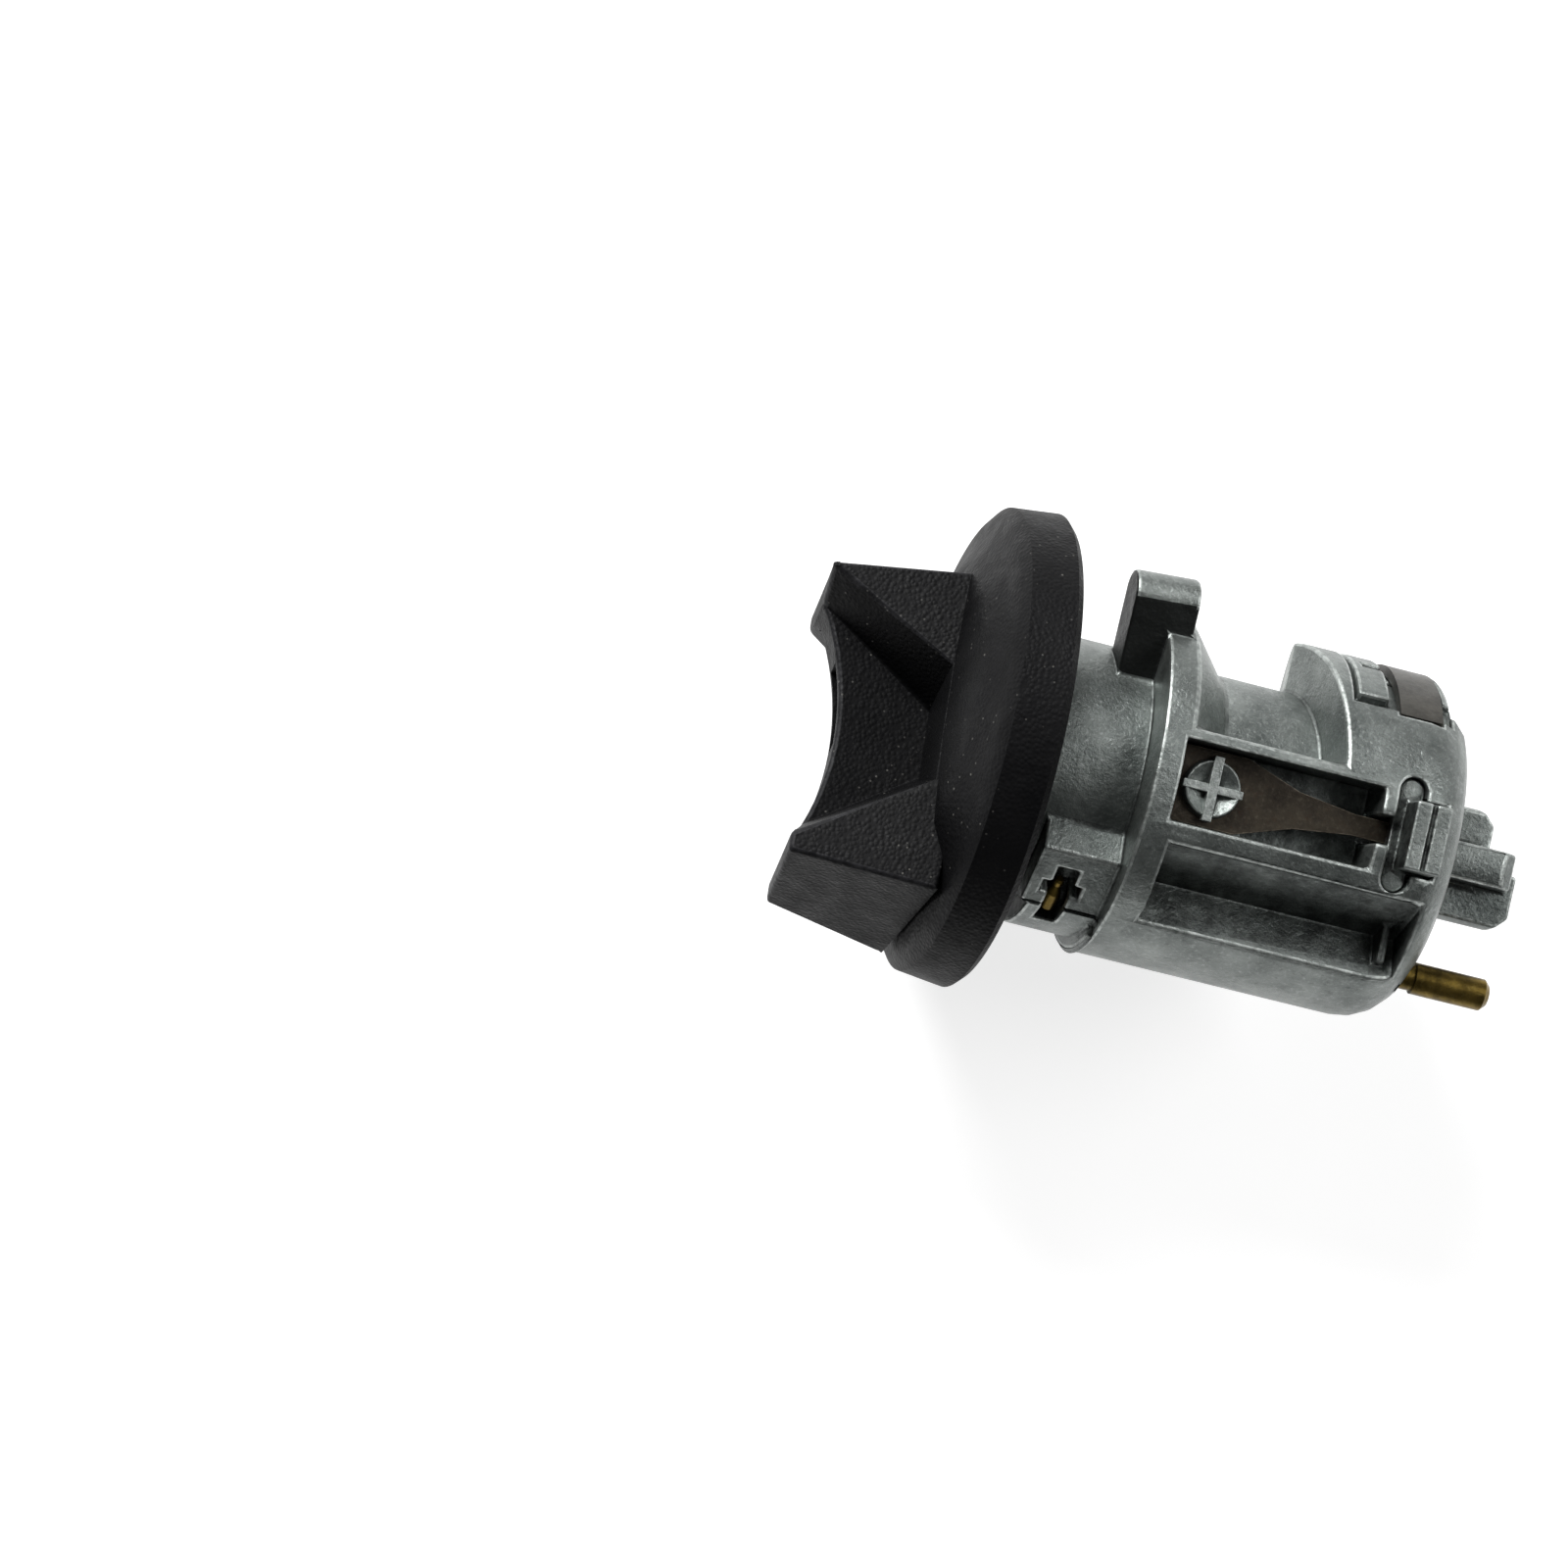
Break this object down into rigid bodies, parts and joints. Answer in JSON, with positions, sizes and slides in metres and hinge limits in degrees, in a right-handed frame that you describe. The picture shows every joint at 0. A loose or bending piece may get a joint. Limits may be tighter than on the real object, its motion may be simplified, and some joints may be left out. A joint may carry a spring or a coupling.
{
  "type": "ignition lock cylinder",
  "caption": "Steering-column ignition lock cylinder: die-cast barrel with collar, ear and sprung latch, black winged turn knob, wafer plug with drive tang and brass key rod",
  "frame": {"origin": "on the key axis at the front face of the housing collar, the seat in the column bore", "axes": "+X along the key axis from knob to drive tang, +Z through the latch and its window, +Y towards the anti-turn ear"},
  "size_m": [0.0847, 0.0542, 0.0542],
  "materials": {
    "zinc": "as-cast zinc, mottled grey",
    "black_coat": "fine textured black coat",
    "steel": "dull",
    "spring_steel": "brown tempered",
    "brass": "dull turned"
  },
  "bodies": {
    "housing": {"housing": "zinc", "leaf_spring": "spring_steel", "retaining_clip": "steel", "rod_spring": "steel"},
    "rotor": {"knob": "black_coat", "knob_pin": "steel", "plug": "zinc", "shutter_pin": "steel", "shutter_spring": "steel", "wafer_spring_1": "steel", "wafer_spring_2": "steel", "wafer_spring_3": "steel", "wafer_spring_4": "steel", "wafer_spring_5": "steel", "wafer_spring_6": "steel", "wafer_spring_7": "steel"},
    "latch": {"latch": "zinc"},
    "key_rod": {"key_rod": "brass"},
    "key_plunger": {"key_plunger": "brass"},
    "shutter": {"shutter": "steel"},
    "wafer_1": {"wafer_1": "brass"},
    "wafer_2": {"wafer_2": "brass"},
    "wafer_3": {"wafer_3": "brass"},
    "wafer_4": {"wafer_4": "brass"},
    "wafer_5": {"wafer_5": "brass"},
    "wafer_6": {"wafer_6": "brass"},
    "wafer_7": {"wafer_7": "brass"}
  },
  "joints": [
    {"name": "key_turn", "type": "hinge", "parent": "housing", "child": "rotor", "pos_m": [0, 0, 0], "axis": [1, 0, 0], "range_deg": [-30, 90]},
    {"name": "latch_press", "type": "slide", "parent": "housing", "child": "latch", "axis": [0, 0, 1], "range_m": [-0.0024, 0], "stiffness_N_per_m": 900, "springref_m": 0.0006, "deforming": ["leaf_spring"]},
    {"name": "rod_push", "type": "slide", "parent": "housing", "child": "key_rod", "axis": [1, 0, 0], "range_m": [0, 0.002], "stiffness_N_per_m": 250, "springref_m": -0.001, "deforming": ["rod_spring"]},
    {"name": "plunger_push", "type": "slide", "parent": "housing", "child": "key_plunger", "axis": [0, -0.6157, -0.788], "range_m": [0, 0.0008]},
    {"name": "shutter_swing", "type": "hinge", "parent": "rotor", "child": "shutter", "pos_m": [-0.018, 0.00104, 0.00313], "axis": [0, -0.9489, 0.3156], "range_deg": [0, 84], "stiffness_Nm_per_rad": 0.0006, "springref_deg": -28.65},
    {"name": "wafer_lift_1", "type": "slide", "parent": "rotor", "child": "wafer_1", "axis": [0, -0.9489, 0.3156], "range_m": [-0.0005, 0.0005], "stiffness_N_per_m": 120, "deforming": ["wafer_spring_1"]},
    {"name": "wafer_lift_2", "type": "slide", "parent": "rotor", "child": "wafer_2", "axis": [0, -0.9489, 0.3156], "range_m": [-0.0005, 0.0005], "stiffness_N_per_m": 120, "deforming": ["wafer_spring_2"]},
    {"name": "wafer_lift_3", "type": "slide", "parent": "rotor", "child": "wafer_3", "axis": [0, -0.9489, 0.3156], "range_m": [-0.0005, 0.0005], "stiffness_N_per_m": 120, "deforming": ["wafer_spring_3"]},
    {"name": "wafer_lift_4", "type": "slide", "parent": "rotor", "child": "wafer_4", "axis": [0, -0.9489, 0.3156], "range_m": [-0.0005, 0.0005], "stiffness_N_per_m": 120, "deforming": ["wafer_spring_4"]},
    {"name": "wafer_lift_5", "type": "slide", "parent": "rotor", "child": "wafer_5", "axis": [0, -0.9489, 0.3156], "range_m": [-0.0005, 0.0005], "stiffness_N_per_m": 120, "deforming": ["wafer_spring_5"]},
    {"name": "wafer_lift_6", "type": "slide", "parent": "rotor", "child": "wafer_6", "axis": [0, -0.9489, 0.3156], "range_m": [-0.0005, 0.0005], "stiffness_N_per_m": 120, "deforming": ["wafer_spring_6"]},
    {"name": "wafer_lift_7", "type": "slide", "parent": "rotor", "child": "wafer_7", "axis": [0, -0.9489, 0.3156], "range_m": [-0.0005, 0.0005], "stiffness_N_per_m": 120, "deforming": ["wafer_spring_7"]}
  ],
  "couplings": [
    {"joint": "plunger_push", "follows": "rod_push", "ratio": 0.4},
    {"joint": "wafer_lift_2", "follows": "wafer_lift_1", "ratio": -0.6},
    {"joint": "wafer_lift_3", "follows": "wafer_lift_1", "ratio": 0.4},
    {"joint": "wafer_lift_4", "follows": "wafer_lift_1", "ratio": -0.8},
    {"joint": "wafer_lift_5", "follows": "wafer_lift_1", "ratio": 0.6},
    {"joint": "wafer_lift_6", "follows": "wafer_lift_1", "ratio": -0.4},
    {"joint": "wafer_lift_7", "follows": "wafer_lift_1", "ratio": 0.8}
  ]
}
